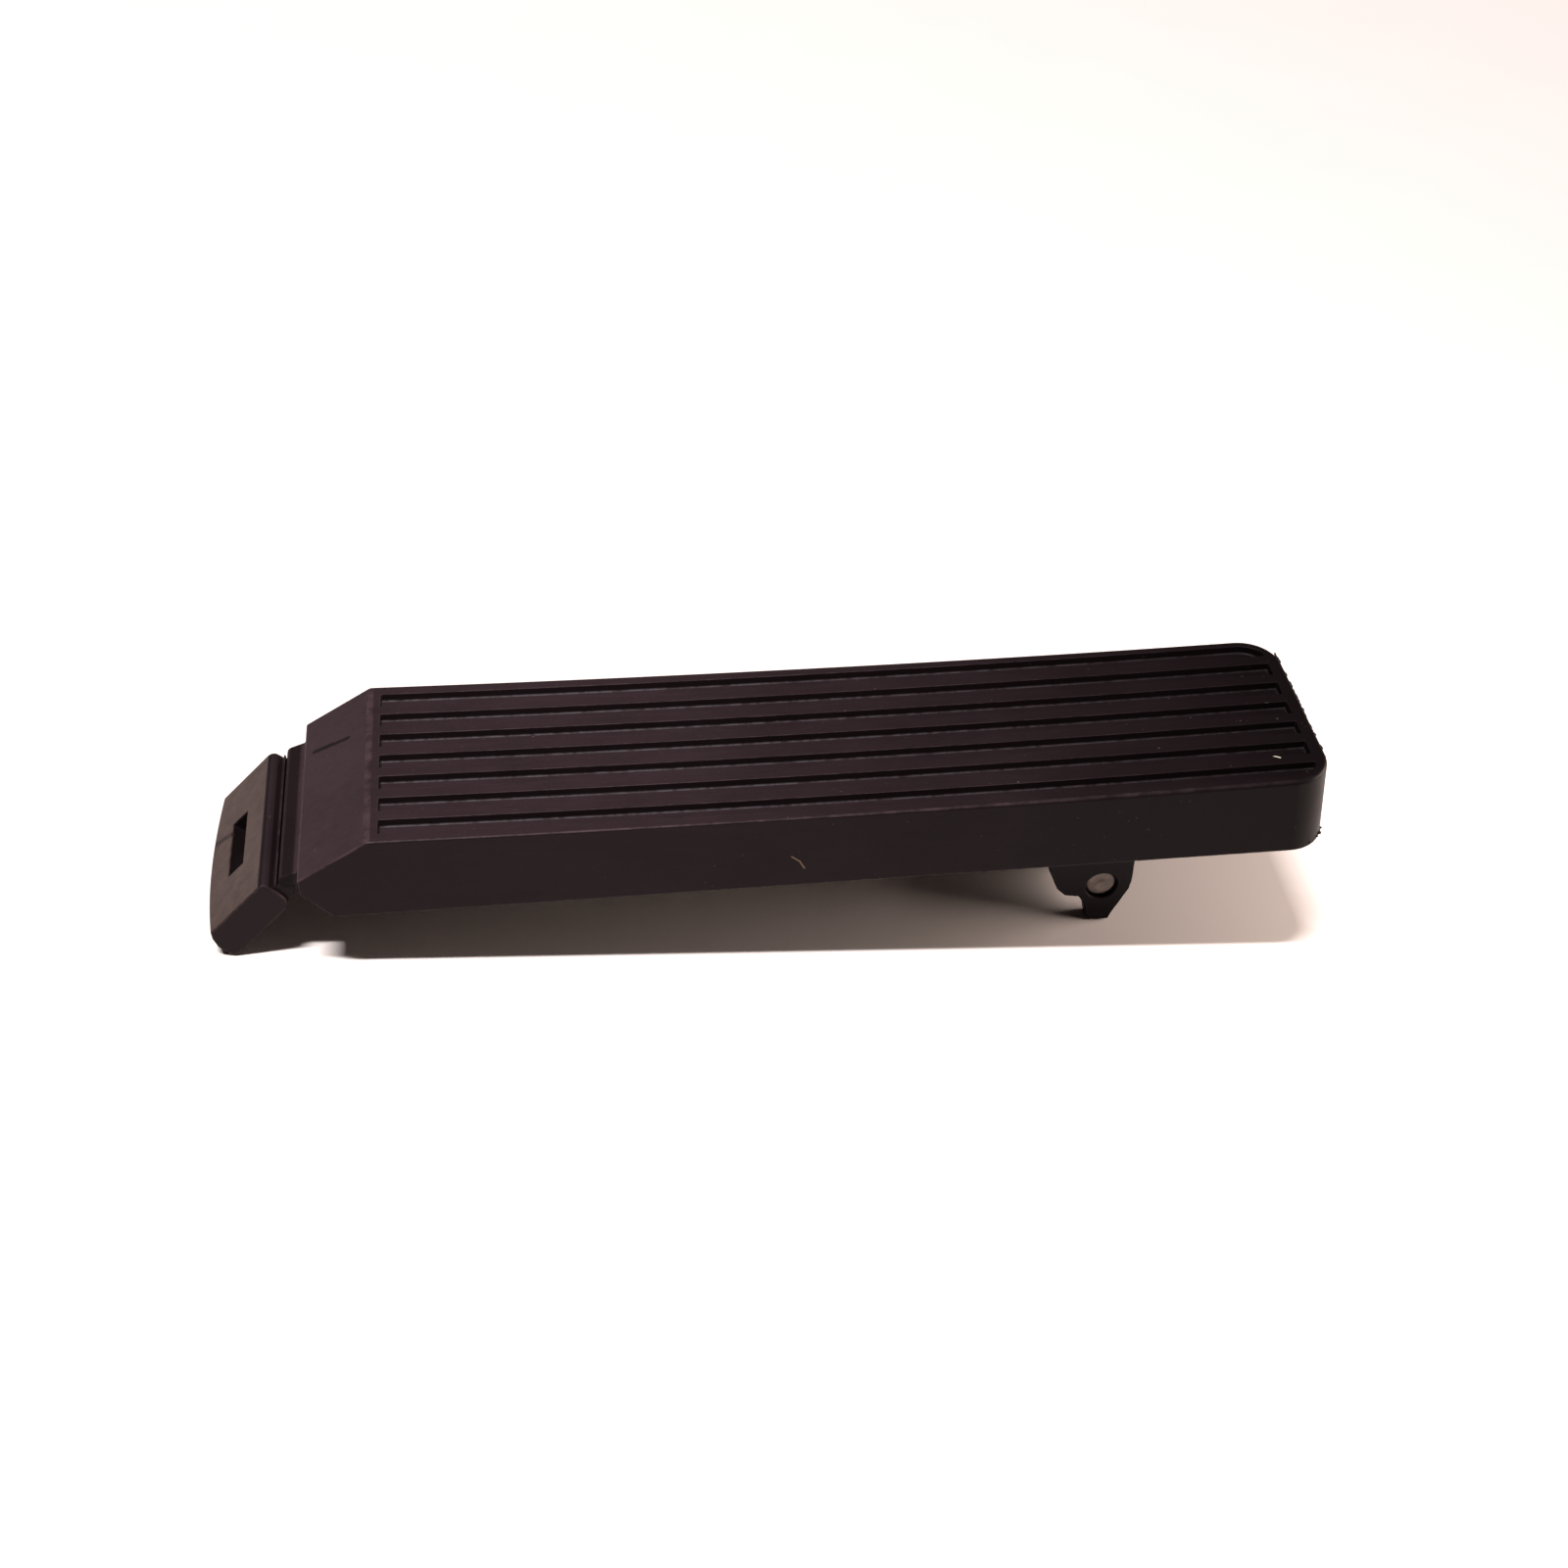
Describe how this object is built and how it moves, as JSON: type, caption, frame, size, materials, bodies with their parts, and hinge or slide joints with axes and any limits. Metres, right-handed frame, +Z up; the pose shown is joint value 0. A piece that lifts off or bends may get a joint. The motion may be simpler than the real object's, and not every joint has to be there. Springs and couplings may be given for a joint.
{
  "type": "floor-hinged accelerator pedal",
  "caption": "Long floor-hinged foot pedal: grooved black tread with side skirts and heel ramp, flexible strap hinge, slotted foot, and a forked linkage bracket with pin and roller underneath.",
  "frame": {"origin": "on the floor, under the middle of the box round the whole part, as the pedal lies on the edge of its heel foot and the tips of its linkage bracket", "axes": "+X from the heel end to the toe end, +Y across the tread, +Z up"},
  "size_m": [0.2428, 0.053, 0.0549],
  "materials": {
    "moulded_black": "fine-grained matte black moulding with a faint brown cast",
    "bracket_black": "matte black moulding",
    "strap_rubber": "matte black flexible strap",
    "roller_black": "smooth dark nylon",
    "pressed_steel": "dull passivated sheet steel",
    "pin_steel": "dull grey-brown steel",
    "fastener_steel": "dull zinc-plated steel"
  },
  "bodies": {
    "foot": {"foot_block": "moulded_black", "foot_core_plate": "pressed_steel"},
    "tread": {"tread_shell": "moulded_black", "core_channel": "pressed_steel", "core_screw_1": "fastener_steel", "core_screw_2": "fastener_steel", "core_screw_3": "fastener_steel", "core_screw_4": "fastener_steel", "core_screw_5": "fastener_steel", "core_screw_6": "fastener_steel", "linkage_bracket": "bracket_black", "bracket_rivet_heel": "fastener_steel", "bracket_rivet_toe": "fastener_steel", "linkage_pin": "pin_steel", "hinge_strap": "strap_rubber"},
    "roller": {"linkage_roller": "roller_black"}
  },
  "joints": [
    {"name": "tread_hinge", "type": "hinge", "parent": "foot", "child": "tread", "pos_m": [-0.10539, 0, 0.01828], "axis": [0, -1, 0], "range_deg": [0, 25], "stiffness_Nm_per_rad": 0.3, "deforming": ["hinge_strap"]},
    {"name": "roller_spin", "type": "hinge", "parent": "tread", "child": "roller", "pos_m": [0.07786, 0, 0.01053], "axis": [0, 1, 0], "continuous": true}
  ]
}
